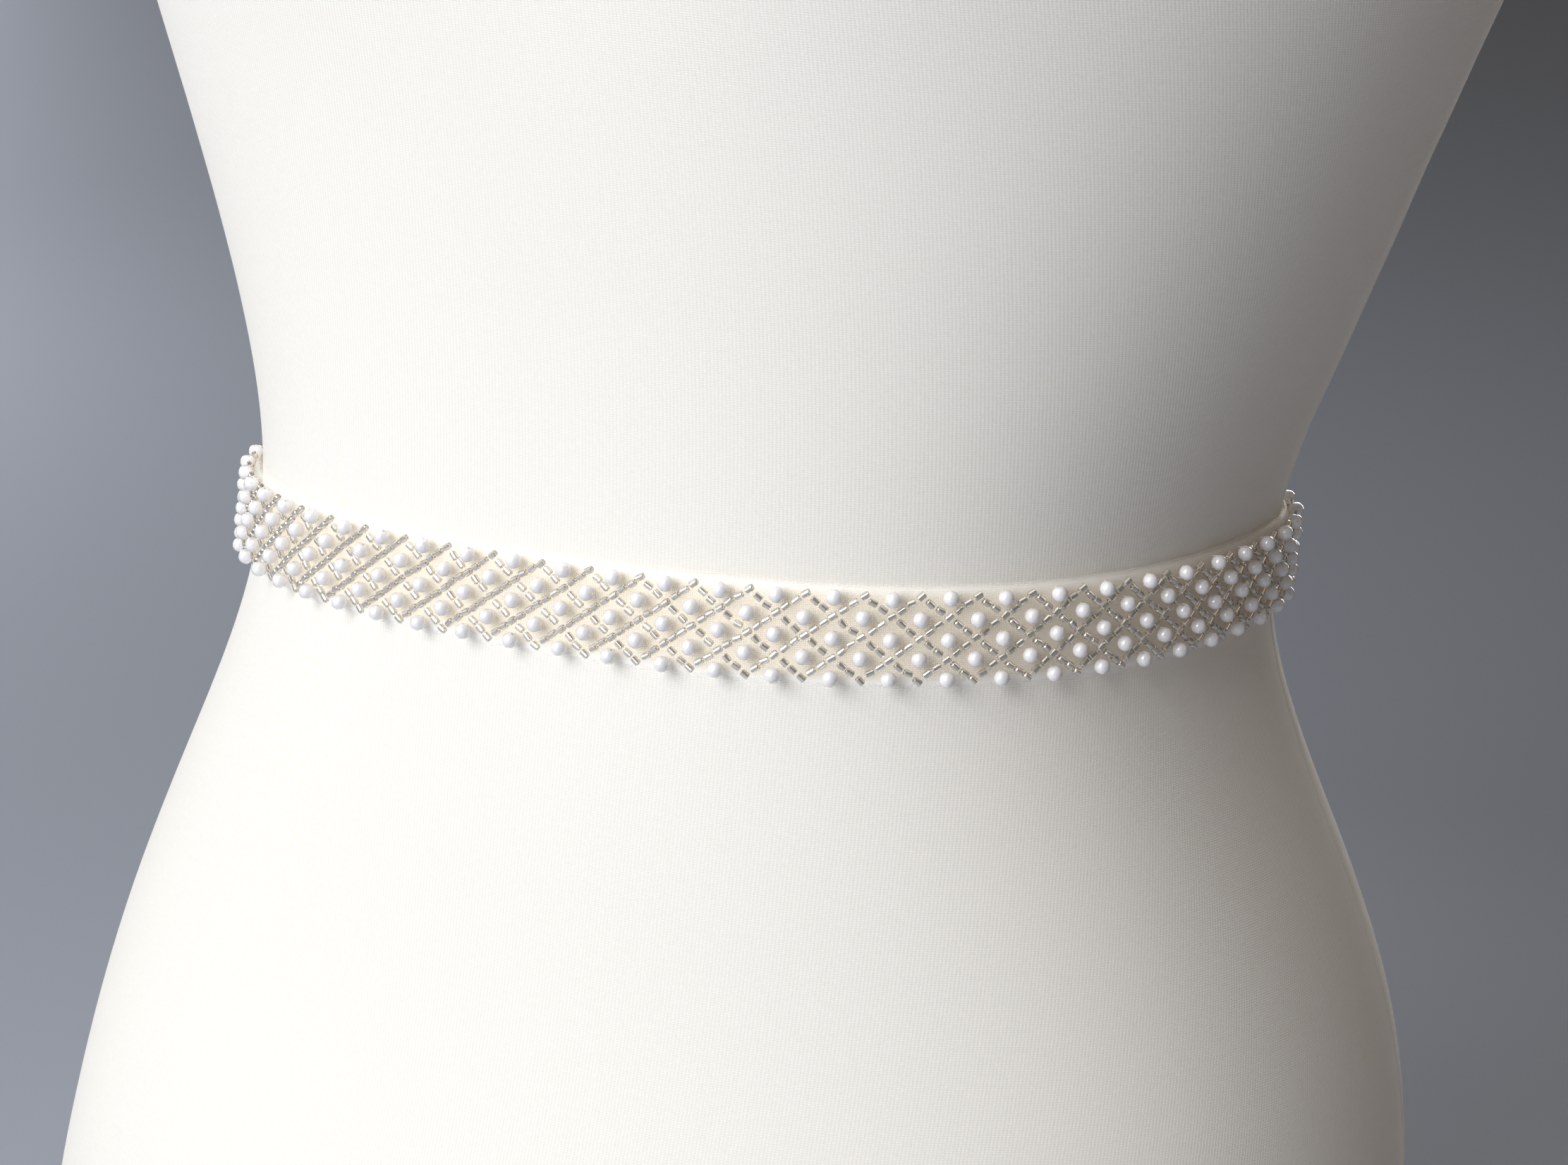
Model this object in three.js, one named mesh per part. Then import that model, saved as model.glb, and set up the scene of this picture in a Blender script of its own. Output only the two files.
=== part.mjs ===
// A beaded bridal sash round the waist of a limbless dress form. Millimetres, +Z up, front towards -Y.
// The origin is on the surface that the form stands on, under the middle of the whole object.
import * as THREE from "three";
import { mergeVertices } from "three/addons/utils/BufferGeometryUtils.js";

// The dress form: each row is a level section, with its height measured from the waist.
// half is half the width, front and back are the depths before and behind the widest line,
// shift moves the section back, and square is how full the front corners are (2 is an ellipse).
const WAIST_HEIGHT = 250;
const FORM_SECTIONS = [
  { level: -250, half: 152, front: 118, back: 118, shift: -8, square: 2.2 },
  { level: -200, half: 158, front: 127, back: 124, shift: -10, square: 2.25 },
  { level: -150, half: 153, front: 122, back: 119, shift: -9.5, square: 2.3 },
  { level: -100, half: 145.4, front: 113.4, back: 107, shift: -1.4, square: 2.35 },
  { level: -50, half: 124.5, front: 106.6, back: 88, shift: 0, square: 2.4 },
  { level: 0, half: 108.3, front: 101.8, back: 75.8, shift: 0, square: 2.5 },
  { level: 50, half: 120.3, front: 105.9, back: 81.8, shift: 1.6, square: 2.4 },
  { level: 100, half: 138.6, front: 110.9, back: 91.5, shift: -2, square: 2.3 },
  { level: 150, half: 156, front: 117, back: 99, shift: -1.5, square: 2.2 },
  { level: 200, half: 163, front: 113, back: 102, shift: 4, square: 2.15 },
  { level: 250, half: 167, front: 94, back: 98, shift: 8, square: 2.15 },
  { level: 295, half: 166, front: 76, back: 86, shift: 12, square: 2.2 },
  { level: 325, half: 150, front: 64, back: 72, shift: 15, square: 2.2 },
  { level: 350, half: 112, front: 56, back: 60, shift: 16, square: 2.1 },
  { level: 368, half: 76, front: 52, back: 54, shift: 14, square: 2 },
  { level: 390, half: 60, front: 52, back: 52, shift: 10, square: 2 },
  { level: 430, half: 55, front: 52, back: 52, shift: 4, square: 2 },
];
const BACK_SQUARE = 2.1;
const FORM_SIDES = 60;
const EDGE_ROUND = 4;

// The form's rings are closest round the waist, where its shape turns fastest under the sash.
const FORM_ZONES = [
  { upTo: -60, step: 20 },
  { upTo: 60, step: 10 },
  { upTo: 300, step: 20 },
  { upTo: 430, step: 12 },
];

// The bust is two low rounded swells on the front.
const BUST_LEVEL = 172;
const BUST_TURN = 0.5;
const BUST_RISE = 15;
const BUST_HEIGHT = 48;
const BUST_WIDTH = 0.42;

// The ribbon: its edges are measured up from the middle row of pearls.
const RIBBON_TOP = 10.4;
const RIBBON_BOTTOM = -9.4;
const RIBBON_WALL = 1.2;
const RIBBON_CLEAR = 0.8;
const RIBBON_RISE = 0.029;
const BACK_GAP = 5;
const HEM_LENGTH = 8;
const HEM_STEP = 0.5;
const HEM_WALL = 2;

// The beadwork: pearls 3 mm across in five rows, in the meshes of a lattice of short glass tubes.
// BARE_END is the least ribbon without beads at each end, and BARE_START, in pitches, is how far
// past the last crossing the ribbon's plain stretch begins.
const PEARL = 3;
const PITCH = 11;
const PEARL_ROW = 3.9;
const LATTICE_ROW = 4.1;
const PATTERN_SHIFT = 2.5;
const BARE_END = 16;
const BARE_START = 0.8;
const TUBE = 1.3;
const RIDGE_HALF = 0.75;
const PEARL_SIDES = 6;
const PEARL_FOOT = 1.2;
const PEARL_SHOULDER = 1.4;
const PEARL_SHOULDER_HEIGHT = 2;

// The hooks and eyes at the back, of nickel wire.
const WIRE_RADIUS = 0.3;
const WIRE_SIDES = 5;
const EYE_STEPS = 30;
const HOOK_STEPS = 40;
const HOOK_SPREAD = 10;
const SEAT_GAP = 0.3;

// Smooth value of one column of the section table at a level, by a natural cubic spline.
function splineOf(levels, values) {
  const n = levels.length;
  const slope = new Array(n).fill(0);
  const work = new Array(n).fill(0);
  for (let i = 1; i < n - 1; i++) {
    const ratio = (levels[i] - levels[i - 1]) / (levels[i + 1] - levels[i - 1]);
    const p = ratio * slope[i - 1] + 2;
    const rise = (values[i + 1] - values[i]) / (levels[i + 1] - levels[i]);
    const before = (values[i] - values[i - 1]) / (levels[i] - levels[i - 1]);
    slope[i] = (ratio - 1) / p;
    work[i] = ((6 * (rise - before)) / (levels[i + 1] - levels[i - 1]) - ratio * work[i - 1]) / p;
  }
  for (let i = n - 2; i >= 0; i--) {
    slope[i] = slope[i] * slope[i + 1] + work[i];
  }
  return (level) => {
    let i = 0;
    while (i < n - 2 && level > levels[i + 1]) {
      i++;
    }
    const step = levels[i + 1] - levels[i];
    const a = (levels[i + 1] - level) / step;
    const b = 1 - a;
    const bend = ((a ** 3 - a) * slope[i] + (b ** 3 - b) * slope[i + 1]) * (step * step) / 6;
    return a * values[i] + b * values[i + 1] + bend;
  };
}

const levels = FORM_SECTIONS.map((row) => row.level);
const columnOf = (name) => splineOf(levels, FORM_SECTIONS.map((row) => row[name]));
const formHalf = columnOf("half");
const formFront = columnOf("front");
const formBack = columnOf("back");
const formShift = columnOf("shift");
const formSquare = columnOf("square");

// How far the bust swells the form outwards, at a turn from +X round to +Y and at a level.
function bustRise(turn, level) {
  const up = Math.exp(-(((level - BUST_LEVEL) / BUST_HEIGHT) ** 2));
  const fromFront = Math.atan2(Math.cos(turn), -Math.sin(turn));
  const left = Math.exp(-(((fromFront - BUST_TURN) / BUST_WIDTH) ** 2));
  const right = Math.exp(-(((fromFront + BUST_TURN) / BUST_WIDTH) ** 2));
  return BUST_RISE * up * (left + right);
}

// A point of the form's skin, at a turn from +X round to +Y and at a level above the waist.
function formPoint(turn, level) {
  const across = Math.cos(turn);
  const along = Math.sin(turn);
  const isFront = along < 0;
  const depth = isFront ? formFront(level) : formBack(level);
  const power = isFront ? formSquare(level) : BACK_SQUARE;
  const reach = Math.abs(across / formHalf(level)) ** power + Math.abs(along / depth) ** power;
  const radius = reach ** (-1 / power) + bustRise(turn, level);
  return new THREE.Vector3(radius * across, formShift(level) + radius * along, WAIST_HEIGHT + level);
}

// The level outward normal of the waist at a turn.
function waistNormal(turn) {
  const step = 0.002;
  const ahead = formPoint(turn + step, 0);
  const behind = formPoint(turn - step, 0);
  return new THREE.Vector3(ahead.y - behind.y, behind.x - ahead.x, 0).normalize();
}

// The line that the pearls' centres follow, as running length from the middle of the front.
const PEARL_LINE = RIBBON_CLEAR + RIBBON_WALL + PEARL / 2;
const WAIST_STEPS = 1440;
const FRONT_TURN = -Math.PI / 2;
const waistLengths = [0];
for (let i = 1; i <= WAIST_STEPS; i++) {
  const turn = FRONT_TURN + (2 * Math.PI * i) / WAIST_STEPS;
  const before = turn - (2 * Math.PI) / WAIST_STEPS;
  const here = formPoint(turn, 0).addScaledVector(waistNormal(turn), PEARL_LINE);
  const last = formPoint(before, 0).addScaledVector(waistNormal(before), PEARL_LINE);
  waistLengths.push(waistLengths[i - 1] + here.distanceTo(last));
}
const WAIST_ROUND = waistLengths[WAIST_STEPS];

// The turn at a running length from the middle of the front, positive towards +X.
function turnAt(run) {
  const wrapped = ((run % WAIST_ROUND) + WAIST_ROUND) % WAIST_ROUND;
  let low = 0;
  let high = WAIST_STEPS;
  while (high - low > 1) {
    const middle = (low + high) >> 1;
    if (waistLengths[middle] <= wrapped) {
      low = middle;
    } else {
      high = middle;
    }
  }
  const share = (wrapped - waistLengths[low]) / (waistLengths[high] - waistLengths[low]);
  return FRONT_TURN + (2 * Math.PI * (low + share)) / WAIST_STEPS;
}

// A point of the sash: run along it from the middle of the front, up from its middle row,
// and out from the ribbon's inner face. The ribbon is straight between its two edges,
// which both lie RIBBON_CLEAR off the form, and its whole ring rises a little towards +X.
function sashPoint(run, up, out) {
  const turn = turnAt(run);
  const normal = waistNormal(turn);
  const rise = RIBBON_RISE * formPoint(turn, 0).x;
  const low = formPoint(turn, RIBBON_BOTTOM + rise);
  const high = formPoint(turn, RIBBON_TOP + rise);
  const share = (up - RIBBON_BOTTOM) / (RIBBON_TOP - RIBBON_BOTTOM);
  return low.lerp(high, share).addScaledVector(normal, RIBBON_CLEAR + out);
}

// Gathers triangles between points that are named by their place, so that neighbours share them.
class Patch {
  constructor(placeOf) {
    this.placeOf = placeOf;
    this.index = new Map();
    this.positions = [];
    this.triangles = [];
  }

  at(point) {
    const key = point.map((value) => value.toFixed(4)).join(" ");
    if (!this.index.has(key)) {
      this.index.set(key, this.positions.length / 3);
      this.positions.push(...this.placeOf(...point).toArray());
    }
    return this.index.get(key);
  }

  triangle(a, b, c) {
    this.triangles.push(this.at(a), this.at(b), this.at(c));
  }

  quad(a, b, c, d) {
    this.triangle(a, b, c);
    this.triangle(a, c, d);
  }

  geometry() {
    const made = new THREE.BufferGeometry();
    made.setAttribute("position", new THREE.Float32BufferAttribute(this.positions, 3));
    made.setIndex(this.triangles);
    return made;
  }
}

// The dress form's torso: one closed solid with a flat foot, a flat neck top and rounded rims.
function torsoGeometry() {
  const bottom = FORM_SECTIONS[0].level;
  const top = FORM_SECTIONS[FORM_SECTIONS.length - 1].level;
  const rings = [{ level: bottom, inset: EDGE_ROUND * 0.6 }];
  let rising = bottom + EDGE_ROUND * 0.5;
  for (const { upTo, step } of FORM_ZONES) {
    while (rising < Math.min(upTo, top - EDGE_ROUND) - step / 2) {
      rings.push({ level: rising, inset: 0 });
      rising += step;
    }
  }
  rings.push({ level: top - EDGE_ROUND, inset: 0 });
  rings.push({ level: top - EDGE_ROUND * 0.3, inset: EDGE_ROUND * 0.3 });
  rings.push({ level: top, inset: EDGE_ROUND });
  const patch = new Patch((ring, side) => {
    const { level, inset } = rings[ring];
    const point = formPoint((2 * Math.PI * side) / FORM_SIDES, level);
    const centre = new THREE.Vector3(0, formShift(level), point.z);
    const reach = point.distanceTo(centre);
    return side < 0 ? centre : point.lerp(centre, inset / reach);
  });
  const last = rings.length - 1;
  for (let side = 0; side < FORM_SIDES; side++) {
    const next = (side + 1) % FORM_SIDES;
    for (let ring = 0; ring < last; ring++) {
      patch.quad([ring, side], [ring, next], [ring + 1, next], [ring + 1, side]);
    }
    patch.triangle([0, -1], [0, next], [0, side]);
    patch.triangle([last, -1], [last, side], [last, next]);
  }
  return patch.geometry();
}

// The columns of the beadwork: a crossing column is where the lattice reaches both edges,
// and a pearl column lies half a pitch to each side of it.
const BEADED_HALF = WAIST_ROUND / 2 - BACK_GAP / 2 - BARE_END;
const FIRST_CROSSING = Math.ceil((-BEADED_HALF - PATTERN_SHIFT) / PITCH);
const LAST_CROSSING = Math.floor((BEADED_HALF - PATTERN_SHIFT) / PITCH);
const crossingRun = (column) => PATTERN_SHIFT + column * PITCH;

// A closed outline in the sash's own coordinates, filled round the foot of a pearl.
function fillRoundPearl(patch, outline, pearlFoot) {
  const flat = (point) => new THREE.Vector2(point[0], point[1]);
  const contour = outline.map(flat);
  const hole = pearlFoot.map(flat);
  const all = [...outline, ...pearlFoot];
  for (const [a, b, c] of THREE.ShapeUtils.triangulateShape(contour, [hole])) {
    const turn = flat(all[b]).sub(flat(all[a])).cross(flat(all[c]).sub(flat(all[a])));
    if (turn > 0) {
      patch.triangle(all[a], all[b], all[c]);
    } else {
      patch.triangle(all[a], all[c], all[b]);
    }
  }
}

// One pearl, as a six-sided bead on the ribbon. Returns the outline of its foot.
function addPearl(patch, run, up) {
  const ring = (radius, out) => {
    const points = [];
    for (let i = 0; i < PEARL_SIDES; i++) {
      const turn = (2 * Math.PI * i) / PEARL_SIDES;
      points.push([run + radius * Math.cos(turn), up + radius * Math.sin(turn), out]);
    }
    return points;
  };
  const foot = ring(PEARL_FOOT, RIBBON_WALL);
  const shoulder = ring(PEARL_SHOULDER, RIBBON_WALL + PEARL_SHOULDER_HEIGHT);
  const crown = [run, up, RIBBON_WALL + PEARL];
  for (let i = 0; i < PEARL_SIDES; i++) {
    const next = (i + 1) % PEARL_SIDES;
    patch.quad(foot[i], foot[next], shoulder[next], shoulder[i]);
    patch.triangle(shoulder[i], shoulder[next], crown);
  }
  return foot;
}

// The crest of the lattice at a crossing, and the foot of its slope towards a mesh's middle.
const crest = (run, up) => [run, up, RIBBON_WALL + TUBE];
const HALF_RUN = PITCH / 2;
const EDGE_LENGTH = Math.hypot(HALF_RUN, LATTICE_ROW);
const MESH_REACH = (HALF_RUN * LATTICE_ROW) / EDGE_LENGTH;
const FOOT_SHARE = (MESH_REACH - RIDGE_HALF) / MESH_REACH;

// A whole mesh of the lattice: four tube ridges sloping in to the ribbon, with a pearl in it.
function addMesh(patch, run, row) {
  const up = row * LATTICE_ROW;
  const corner = (across, rise) => ({
    top: crest(run + across * HALF_RUN, up + rise * LATTICE_ROW),
    foot: [
      run + across * HALF_RUN * FOOT_SHARE,
      up + rise * LATTICE_ROW * FOOT_SHARE,
      RIBBON_WALL,
    ],
  });
  const corners = [corner(1, 0), corner(0, 1), corner(-1, 0), corner(0, -1)];
  corners.forEach((here, i) => {
    const next = corners[(i + 1) % corners.length];
    patch.quad(here.top, next.top, next.foot, here.foot);
  });
  const foot = addPearl(patch, run, row * PEARL_ROW);
  fillRoundPearl(patch, corners.map((here) => here.foot), foot);
}

// The foot beyond a peak or point of the lattice, near the ribbon's edge.
const TIP_REACH = 0.7;
const tipFoot = (run, side) => [run, side * (2 * LATTICE_ROW + TIP_REACH), RIBBON_WALL];
const ribbonEdge = (run, side) => [run, side > 0 ? RIBBON_TOP : RIBBON_BOTTOM, RIBBON_WALL];

// A half mesh at the ribbon's edge, open between two peaks. side is 1 at the top and -1 below.
function addHalfMesh(patch, run, side) {
  const valley = crest(run, side * LATTICE_ROW);
  const valleyReach = RIDGE_HALF * (EDGE_LENGTH / HALF_RUN);
  const valleyFoot = [run, side * (LATTICE_ROW + valleyReach), RIBBON_WALL];
  const ends = [-1, 1].map((way) => ({
    peak: crest(run + way * HALF_RUN, side * 2 * LATTICE_ROW),
    foot: tipFoot(run + way * HALF_RUN, side),
    edge: ribbonEdge(run + way * HALF_RUN, side),
  }));
  const [before, after] = side > 0 ? ends : [ends[1], ends[0]];
  patch.quad(before.peak, valley, valleyFoot, before.foot);
  patch.quad(valley, after.peak, after.foot, valleyFoot);
  const outline = [before.foot, valleyFoot, after.foot, after.edge, ribbonEdge(run, side), before.edge];
  const foot = addPearl(patch, run, side * 2 * PEARL_ROW);
  fillRoundPearl(patch, outline, foot);
}

// The bare ribbon beyond the beadwork, with its turned hem. way is -1 or 1.
function addBareEnd(patch, crossing, way) {
  const near = crossingRun(crossing);
  const end = way * (WAIST_ROUND / 2 - BACK_GAP / 2);
  const outward = way * HALF_RUN;
  const slope = way * RIDGE_HALF * (EDGE_LENGTH / LATTICE_ROW);
  const crests = [2, 1, 0, -1, -2].map((row) =>
    crest(near + (row % 2 === 0 ? 0 : outward), row * LATTICE_ROW),
  );
  const feet = [
    tipFoot(near, 1),
    [near + outward + slope, LATTICE_ROW, RIBBON_WALL],
    [near + slope, 0, RIBBON_WALL],
    [near + outward + slope, -LATTICE_ROW, RIBBON_WALL],
    tipFoot(near, -1),
  ];
  const face = (points) => {
    if (way > 0) {
      patch.quad(...points);
    } else {
      patch.quad(...points.reverse());
    }
  };
  for (let i = 0; i < crests.length - 1; i++) {
    face([crests[i], crests[i + 1], feet[i + 1], feet[i]]);
  }
  const start = near + way * PITCH * BARE_START;
  const outline = [
    ribbonEdge(near, 1),
    ...feet,
    ribbonEdge(near, -1),
    ribbonEdge(start, -1),
    ribbonEdge(start, 1),
  ];
  const flat = outline.map((point) => new THREE.Vector2(point[0], point[1]));
  for (const [a, b, c] of THREE.ShapeUtils.triangulateShape(flat, [])) {
    const turn = flat[b].clone().sub(flat[a]).cross(flat[c].clone().sub(flat[a]));
    const order = turn > 0 ? [a, b, c] : [a, c, b];
    patch.triangle(...order.map((i) => outline[i]));
  }
  const hem = end - way * HEM_LENGTH;
  const runs = [start, (start + hem) / 2, hem, hem + way * HEM_STEP, end];
  const outs = [RIBBON_WALL, RIBBON_WALL, RIBBON_WALL, HEM_WALL, HEM_WALL];
  for (let i = 0; i < runs.length - 1; i++) {
    face([
      [runs[i], RIBBON_TOP, outs[i]],
      [runs[i], RIBBON_BOTTOM, outs[i]],
      [runs[i + 1], RIBBON_BOTTOM, outs[i + 1]],
      [runs[i + 1], RIBBON_TOP, outs[i + 1]],
    ]);
  }
  return runs.map((run, i) => ({ run, out: outs[i] }));
}

// The sash's ribbon with its beadwork: one open strip round the waist, plain on the inside.
function sashGeometry() {
  const patch = new Patch(sashPoint);
  const edge = [];
  for (let column = FIRST_CROSSING; column <= LAST_CROSSING; column++) {
    const run = crossingRun(column);
    addMesh(patch, run, 1);
    addMesh(patch, run, -1);
    edge.push({ run, out: RIBBON_WALL });
    if (column < LAST_CROSSING) {
      addMesh(patch, run + HALF_RUN, 0);
      addHalfMesh(patch, run + HALF_RUN, 1);
      addHalfMesh(patch, run + HALF_RUN, -1);
      edge.push({ run: run + HALF_RUN, out: RIBBON_WALL });
    }
  }
  edge.unshift(...addBareEnd(patch, FIRST_CROSSING, -1).reverse());
  edge.push(...addBareEnd(patch, LAST_CROSSING, 1));
  for (let i = 0; i < edge.length - 1; i++) {
    const { run, out } = edge[i];
    const { run: nextRun, out: nextOut } = edge[i + 1];
    patch.quad(
      [run, RIBBON_BOTTOM, 0], [run, RIBBON_TOP, 0], [nextRun, RIBBON_TOP, 0], [nextRun, RIBBON_BOTTOM, 0],
    );
    patch.quad(
      [run, RIBBON_TOP, 0], [run, RIBBON_TOP, out], [nextRun, RIBBON_TOP, nextOut], [nextRun, RIBBON_TOP, 0],
    );
    patch.quad(
      [run, RIBBON_BOTTOM, out], [run, RIBBON_BOTTOM, 0], [nextRun, RIBBON_BOTTOM, 0], [nextRun, RIBBON_BOTTOM, nextOut],
    );
  }
  const close = ({ run, out }, way) => {
    const rim = [
      [run, RIBBON_BOTTOM, 0], [run, RIBBON_BOTTOM, out], [run, RIBBON_TOP, out], [run, RIBBON_TOP, 0],
    ];
    patch.quad(...(way < 0 ? rim : rim.reverse()));
  };
  close(edge[0], -1);
  close(edge[edge.length - 1], 1);
  return patch.geometry();
}

// A bent wire through points given in the closure's own coordinates: past is the distance
// beyond the middle of the back, up is height from the sash's middle row, out is as in the sash.
function wireGeometry(points, up, steps) {
  const places = points.map(([past, rise, out]) => sashPoint(WAIST_ROUND / 2 + past, up + rise, out));
  const path = new THREE.CatmullRomCurve3(places, false, "centripetal");
  const section = new THREE.Shape();
  for (let i = 0; i < WIRE_SIDES; i++) {
    const turn = (2 * Math.PI * i) / WIRE_SIDES;
    const x = WIRE_RADIUS * Math.cos(turn);
    const y = WIRE_RADIUS * Math.sin(turn);
    if (i === 0) {
      section.moveTo(x, y);
    } else {
      section.lineTo(x, y);
    }
  }
  section.closePath();
  return new THREE.ExtrudeGeometry(section, { steps, bevelEnabled: false, extrudePath: path });
}

// The eye is a loop that stands across the gap, and the hook passes under and back over it.
const WIRE_SEAT = HEM_WALL + SEAT_GAP + WIRE_RADIUS;
const WIRE_LIFT = 2 * WIRE_RADIUS + SEAT_GAP;
function eyeGeometry(up) {
  const seat = WIRE_SEAT;
  const bar = WIRE_SEAT + WIRE_LIFT;
  const half = [
    [-7.2, 1.9, seat],
    [-7.9, 2.9, seat],
    [-6.6, 3.3, seat],
    [-5.4, 2.4, seat],
    [-3.4, 1.6, seat],
    [-1.2, 1.6, seat + WIRE_LIFT * 0.6],
    [0.4, 1.2, bar],
  ];
  const mirrored = half.map(([past, rise, out]) => [past, -rise, out]).reverse();
  return wireGeometry([...half, [0.9, 0, bar], ...mirrored], up, EYE_STEPS);
}

function hookGeometry(up) {
  const seat = WIRE_SEAT;
  const bill = WIRE_SEAT + 2 * WIRE_LIFT;
  const half = [
    [7.4, 1.5, seat],
    [8.2, 2.4, seat],
    [7, 3, seat],
    [5.8, 2, seat],
    [4.6, 0.7, seat],
    [2.4, 0.5, seat],
    [0, 0.5, seat],
    [-0.9, 0.5, seat + WIRE_LIFT * 0.4],
    [-1.1, 0.5, seat + WIRE_LIFT],
    [-0.7, 0.5, seat + WIRE_LIFT * 1.7],
    [0.3, 0.5, bill],
    [2, 0.5, bill],
    [2.8, 0.35, bill],
  ];
  const mirrored = half.map(([past, rise, out]) => [past, -rise, out]).reverse();
  return wireGeometry([...half, ...mirrored], up, HOOK_STEPS);
}

function meshOf(name, geometry, material) {
  for (const extra of ["normal", "uv"]) {
    geometry.deleteAttribute(extra);
  }
  const merged = mergeVertices(geometry, 1e-4);
  merged.computeVertexNormals();
  const made = new THREE.Mesh(merged, material);
  made.name = name;
  return made;
}

const coverCloth = new THREE.MeshStandardMaterial({ color: "#f4f1ea", roughness: 0.85, metalness: 0 });
const beadedRibbon = new THREE.MeshStandardMaterial({ color: "#ece5da", roughness: 0.45, metalness: 0 });
const nickelWire = new THREE.MeshStandardMaterial({ color: "#c9c8c4", roughness: 0.3, metalness: 1 });

const sashOnForm = new THREE.Group();
sashOnForm.add(meshOf("form_torso", torsoGeometry(), coverCloth));
sashOnForm.add(meshOf("sash_ribbon", sashGeometry(), beadedRibbon));
const hookHeights = { upper: HOOK_SPREAD / 2, lower: -HOOK_SPREAD / 2 };
for (const [place, up] of Object.entries(hookHeights)) {
  sashOnForm.add(meshOf(`eye_${place}`, eyeGeometry(up), nickelWire));
  sashOnForm.add(meshOf(`hook_${place}`, hookGeometry(up), nickelWire));
}

// The whole object stands with its middle over the origin.
const whole = new THREE.Box3().setFromObject(sashOnForm);
sashOnForm.position.y = -(whole.min.y + whole.max.y) / 2;

export default sashOnForm;
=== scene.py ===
# %% [markdown]
# # A beaded bridal sash on a dress form
#
# A bridal sash is a ribbon about as wide as a thumb, worn at the waist over the dress. This one is
# sheer organza, covered in small pearls that sit in a diamond lattice of tiny glass tubes. It is
# shown the way a seamstress shows it: hooked round the waist of a limbless dress form.
#
# The solids of the part are loaded first. They fix every size and place, and this lesson dresses
# them: the form gets its knitted cover, and the raised bumps on the solid ribbon become a sheer
# cloth with real pearls, real tubes and the thread that holds them.

# %% Load the solids of the part
import bisect
import math
import random

import bpy
from mathutils import Matrix, Vector
from mathutils.bvhtree import BVHTree


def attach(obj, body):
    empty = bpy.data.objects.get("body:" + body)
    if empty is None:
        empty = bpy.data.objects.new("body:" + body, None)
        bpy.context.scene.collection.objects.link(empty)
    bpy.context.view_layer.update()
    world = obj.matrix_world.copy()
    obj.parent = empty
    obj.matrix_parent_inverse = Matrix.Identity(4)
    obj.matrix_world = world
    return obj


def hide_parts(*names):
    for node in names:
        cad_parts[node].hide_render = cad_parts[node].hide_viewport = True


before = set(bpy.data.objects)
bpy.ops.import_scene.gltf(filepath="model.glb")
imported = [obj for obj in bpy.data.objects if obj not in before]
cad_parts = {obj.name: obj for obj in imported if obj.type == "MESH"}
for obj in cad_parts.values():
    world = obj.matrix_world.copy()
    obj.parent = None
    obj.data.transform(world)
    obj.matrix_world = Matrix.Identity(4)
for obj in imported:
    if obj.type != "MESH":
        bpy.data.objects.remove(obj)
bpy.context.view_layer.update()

MM = 0.001

# %% [markdown]
# ## The camera
#
# A camera can be guessed by eye, but here it was worked out: the pearls are evenly spaced, so their
# places in the picture say where the camera stood and how long its lens was. It looks at the waist
# from the front and the form's left, from a little above, and is tipped a few degrees. The camera
# is made before anything else, so that each later step can be looked at through it.

# %% Place the camera
WAIST_HEIGHT = 250 * MM
RING_REACH = 6 * MM
waist_ring = [
    v.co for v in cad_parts["form_torso"].data.vertices if abs(v.co.z - WAIST_HEIGHT) < RING_REACH
]
waist_centre = Vector((0, max(waist_ring, key=lambda point: point.x).y, WAIST_HEIGHT))

PICTURE_WIDTH = 2223
LENS_IN_PIXELS = 5244
SENSOR_WIDTH = 36
CAMERA_DISTANCE = 805 * MM
CAMERA_TURN = math.radians(27.9)
CAMERA_RISE = math.radians(14.78)
CAMERA_TIP = math.radians(3.1)
CAMERA_ASIDE = -0.5 * MM
CAMERA_DOWN = 17.1 * MM

away = Vector((
    math.sin(CAMERA_TURN) * math.cos(CAMERA_RISE),
    -math.cos(CAMERA_TURN) * math.cos(CAMERA_RISE),
    math.sin(CAMERA_RISE),
))
level_right = Vector((math.cos(CAMERA_TURN), math.sin(CAMERA_TURN), 0))
level_up = away.cross(level_right)
right = level_right * math.cos(CAMERA_TIP) + level_up * math.sin(CAMERA_TIP)
up = away.cross(right)

camera_data = bpy.data.cameras.new("camera")
camera_data.sensor_width = SENSOR_WIDTH
camera_data.lens = LENS_IN_PIXELS / PICTURE_WIDTH * SENSOR_WIDTH
camera = bpy.data.objects.new("camera", camera_data)
bpy.context.scene.collection.objects.link(camera)
standpoint = waist_centre + away * CAMERA_DISTANCE + right * CAMERA_ASIDE - up * CAMERA_DOWN
facing_waist = Matrix((right, up, away)).transposed().to_4x4()
camera.matrix_world = Matrix.Translation(standpoint) @ facing_waist
bpy.context.scene.camera = camera
print("lens", round(camera_data.lens, 1), "mm")

# %% [markdown]
# ## Small helpers
#
# Blender's operators work on whatever is selected, so most mistakes in a script come from a
# selection that was left over. These helpers always start from an empty selection. Faces are
# picked in object mode by their place or direction, and then the operators run in edit mode.

# %% Helpers for selecting and finishing
def choose_only(piece):
    bpy.ops.object.select_all(action="DESELECT")
    piece.select_set(True)
    bpy.context.view_layer.objects.active = piece


def edit_faces(piece, is_wanted, *steps):
    """Selects the faces that is_wanted says, then runs each step in edit mode."""
    choose_only(piece)
    bpy.ops.object.mode_set(mode="EDIT")
    bpy.ops.mesh.select_mode(type="FACE")
    bpy.ops.mesh.select_all(action="DESELECT")
    bpy.ops.object.mode_set(mode="OBJECT")
    for face in piece.data.polygons:
        face.select = is_wanted(face)
    bpy.ops.object.mode_set(mode="EDIT")
    for step in steps:
        step()
    bpy.ops.object.mode_set(mode="OBJECT")


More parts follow.
